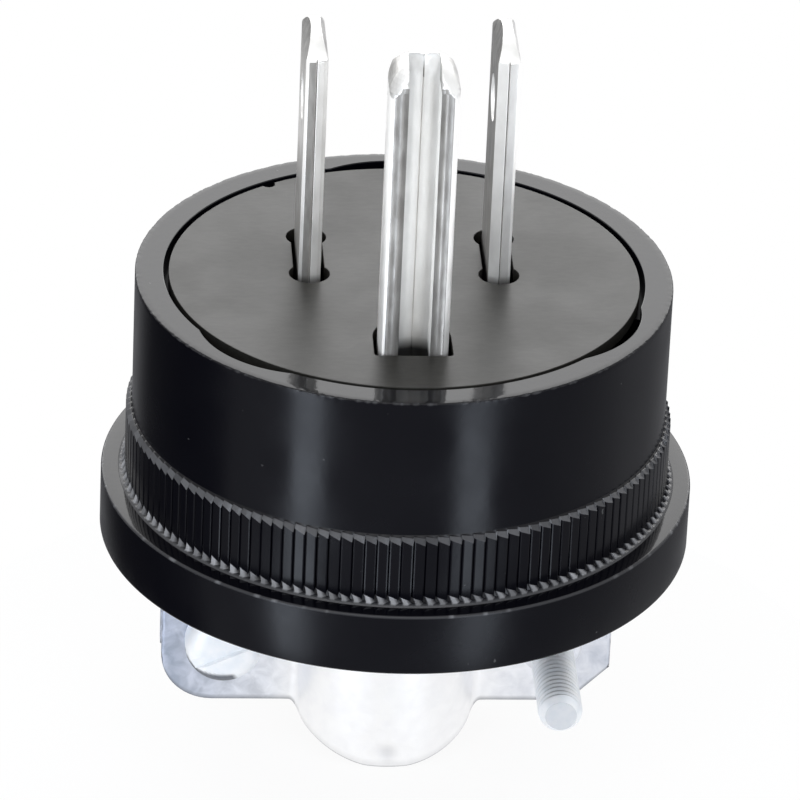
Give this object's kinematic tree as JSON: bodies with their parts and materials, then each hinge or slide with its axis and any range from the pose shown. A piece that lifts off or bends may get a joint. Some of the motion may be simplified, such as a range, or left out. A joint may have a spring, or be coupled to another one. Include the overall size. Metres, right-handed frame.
{
  "type": "grounded power plug",
  "caption": "Round black grounded power plug with flat folded blades, a channelled ground pin, a knurled moulded body and a two-piece steel cord clamp.",
  "frame": {"origin": "middle of the plug on its axis, at the foot of the cord clamp", "axes": "+Z along the plug's axis towards the prong tips, -Y towards the ground pin, +X towards the line blade"},
  "size_m": [0.04, 0.04, 0.055],
  "materials": {
    "black_phenolic": "polished moulding",
    "grey_fibre": "satin",
    "plated_brass": "bright nickel plate",
    "bare_brass": "turned",
    "nickel_screw": "nickel plate",
    "green_screw": "dyed green",
    "zinc_steel": "bright zinc plate",
    "zinc_screw": "bright zinc plate"
  },
  "bodies": {
    "root": {"body": "black_phenolic", "fibre_disc": "grey_fibre", "line_blade": "plated_brass", "neutral_blade": "plated_brass", "ground_pin": "plated_brass", "line_terminal_screw": "bare_brass", "neutral_terminal_screw": "nickel_screw", "ground_terminal_screw": "green_screw", "line_foot_screw": "nickel_screw", "neutral_foot_screw": "nickel_screw", "ground_foot_screw": "nickel_screw", "clamp_front": "zinc_steel", "clamp_back": "zinc_steel", "clamp_screw_left": "zinc_screw", "clamp_screw_right": "zinc_screw"}
  },
  "joints": []
}
